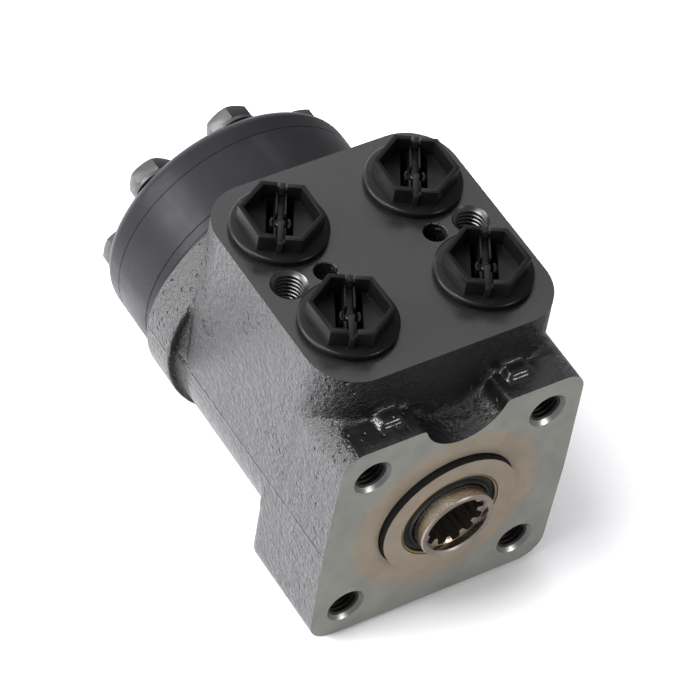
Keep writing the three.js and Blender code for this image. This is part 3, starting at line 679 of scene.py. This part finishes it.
def plug_mesh():
    """Plastic plug at the origin: z from the port face, x along the rib."""
    top, rim, root = PLUG_TOP - PORT_FACE, 2.6, 1.6
    body = lathe("plug", [
        (0, -11), (9.2, -11), (10.1, -10), (10.1, 0.8), (14.1, 0.8), (14.5, 1.15), (14.5, 2.0),
        (14.2, 2.35), (13.7, rim), (0, rim),
    ], PLASTIC, 96, "Z")
    carve(body, [prism("collar", hexagon(PLUG_HEX_R), 1.8, top, PLASTIC, "Z")], "UNION")
    inside = PLUG_HEX_R - PLUG_WALL / math.cos(math.radians(30))
    carve(body, [prism("well", hexagon(inside), rim, top + 2, PLASTIC, "Z")])
    slots = [block("slot", (-4.1, 9.2), (middle - 1.05, middle + 1.05), (-9, 5), PLASTIC)
             for middle in (-2.85, 2.85)]
    notches = [block("notch", (9, 13), (-1.45, 1.45), (top - 1.6, top + 2), PLASTIC),
               block("notch", (-13, -9), (-1.3, 1.3), (top - 1.7, top + 2), PLASTIC)]
    carve(body, slots + notches)
    soften(body, 0.16, 2, 40)

    ribs = [block("web", (-2, 9.9), (-0.85, 0.85), (root, top - 4.0), PLASTIC),
            block("tab", (9.0, 11.4), (-0.8, 0.8), (root, top - 0.5), PLASTIC),
            block("front_rib", (-11.6, -2.6), (-0.8, 0.8), (root, top - 1.5), PLASTIC)]
    for side in (-1, 1):
        for x, middle, half, high in (((1.2, 9.7), 1.3, 0.28, top - 2.6),
                                      ((-9.4, -3.4), 1.45, 0.25, top - 3.4)):
            across = (side * middle - half, side * middle + half)
            ribs.append(block("cheek", x, across, (root, high), PLASTIC))
        ear = arc(3.1, 55 * side, 125 * side, 12, HUB) + arc(2.35, 125 * side, 55 * side, 12, HUB)
        ribs.append(prism("ear", ear, root, top - 3.2, PLASTIC, "Z"))
    hub = lathe("hub", [(0, root), (1.5, root), (1.5, top - 3.4), (1.2, top - 3.1), (0.75, top - 3.1),
                        (0.55, top - 3.9), (0, top - 3.9)], PLASTIC, 32, "Z", (*HUB, 0))
    for piece in ribs:
        soften(piece, 0.1, 2, 40)
    return join("plug_shape", [body] + ribs + [hub])


shape = plug_mesh()
for number, ((px, py), turn) in enumerate(zip(PORTS, PLUG_TURNS), 1):
    made = bpy.data.objects.new("plug_%d" % number, shape.data.copy())
    bpy.context.scene.collection.objects.link(made)
    place = Matrix.Translation((px, py, PORT_FACE - 0.02))
    settle(made, "plug_body_%d" % number, ["port_plug_%d" % number],
           place @ Matrix.Rotation(math.radians(turn), 4, "Z"))
    seal_ring = lathe("plug_ring_%d" % number, arc(0.37, 0, 345, 23, (13.0, 0.4)), RUBBER, 96, "Z")
    settle(seal_ring, "plug_body_%d" % number, ["plug_seal_%d" % number], place)
bpy.data.objects.remove(shape)


# ---- floor, light and camera ---------------------------------------------------------------------

FLOOR_Z = -0.0004                           # just under the casting's lowest skin
CAMERA_AT = (-495.8, -543.7, 878.7)         # shaft-frame millimetres, fitted to the photo
CAMERA_LENS, CAMERA_SENSOR = 206.07, 36

paper = Nodes("pale_paper")
paper.set(Base_Color=paper.mix(paper.noise(0.01, 2), grey(0.9), grey(0.88)), Roughness=0.8)
floor = mesh_object("floor", [(-3, -3, 0), (3, -3, 0), (3, 3, 0), (-3, 3, 0)], [(0, 1, 2, 3)],
                    paper.material)
floor.location.z = FLOOR_Z
floor.visible_glossy = False


def softbox(name, place, aim, size, power):
    """Rectangular lamp at `place`, in metres of the row frame, turned towards `aim`."""
    lamp = bpy.data.lights.new(name, "AREA")
    lamp.shape, lamp.size, lamp.size_y, lamp.energy = "RECTANGLE", size[0], size[1], power
    made = bpy.data.objects.new(name, lamp)
    made.location = place
    made.rotation_euler = (Vector(aim) - Vector(place)).to_track_quat("-Z", "Y").to_euler()
    bpy.context.scene.collection.objects.link(made)


softbox("left_box", (-0.9, 0.35, 0.5), (0, 0, 0.05), (0.8, 0.5), 17)
softbox("top_box", (-0.5, 0.1, 1.2), (-0.25, 0, 0), (0.5, 0.5), 12)
softbox("front_box", (0.5, -1.0, 0.6), (0, 0, 0.05), (0.3, 0.25), 4)

world = bpy.data.worlds.new("studio")
world.use_nodes = True
sky = world.node_tree
toward = sky.nodes.new("ShaderNodeVectorMath")
toward.operation = "DOT_PRODUCT"
toward.inputs[1].default_value = (-0.6, 0.75, 0.0)
direction = sky.nodes.new("ShaderNodeTexCoord")
sky.links.new(direction.outputs["Generated"], toward.inputs[0])
fade = sky.nodes.new("ShaderNodeMapRange")
fade.interpolation_type = "SMOOTHSTEP"
for key, number in (("From Min", -0.2), ("From Max", 0.95), ("To Min", 0.35), ("To Max", 3.4)):
    fade.inputs[key].default_value = number
sky.links.new(toward.outputs["Value"], fade.inputs["Value"])
sky.nodes["Background"].inputs["Color"].default_value = (0.97, 0.965, 1.0, 1)
sky.links.new(fade.outputs["Result"], sky.nodes["Background"].inputs["Strength"])
bpy.context.scene.world = world
bpy.context.scene.view_settings.view_transform = "Standard"

camera = bpy.data.objects.new("camera", bpy.data.cameras.new("camera"))
camera.data.lens, camera.data.sensor_width = CAMERA_LENS, CAMERA_SENSOR
camera.data.clip_end = 20
right, up = (0.84945, -0.51089, 0.13202), (0.31254, 0.68871, 0.65422)
back = (-0.42515, -0.51446, 0.74470)
axes = Matrix((right, up, back)).transposed().to_4x4()
camera.matrix_world = Matrix.Translation(TO_ROW @ Vector(CAMERA_AT)) @ axes
bpy.context.scene.collection.objects.link(camera)
bpy.context.scene.camera = camera
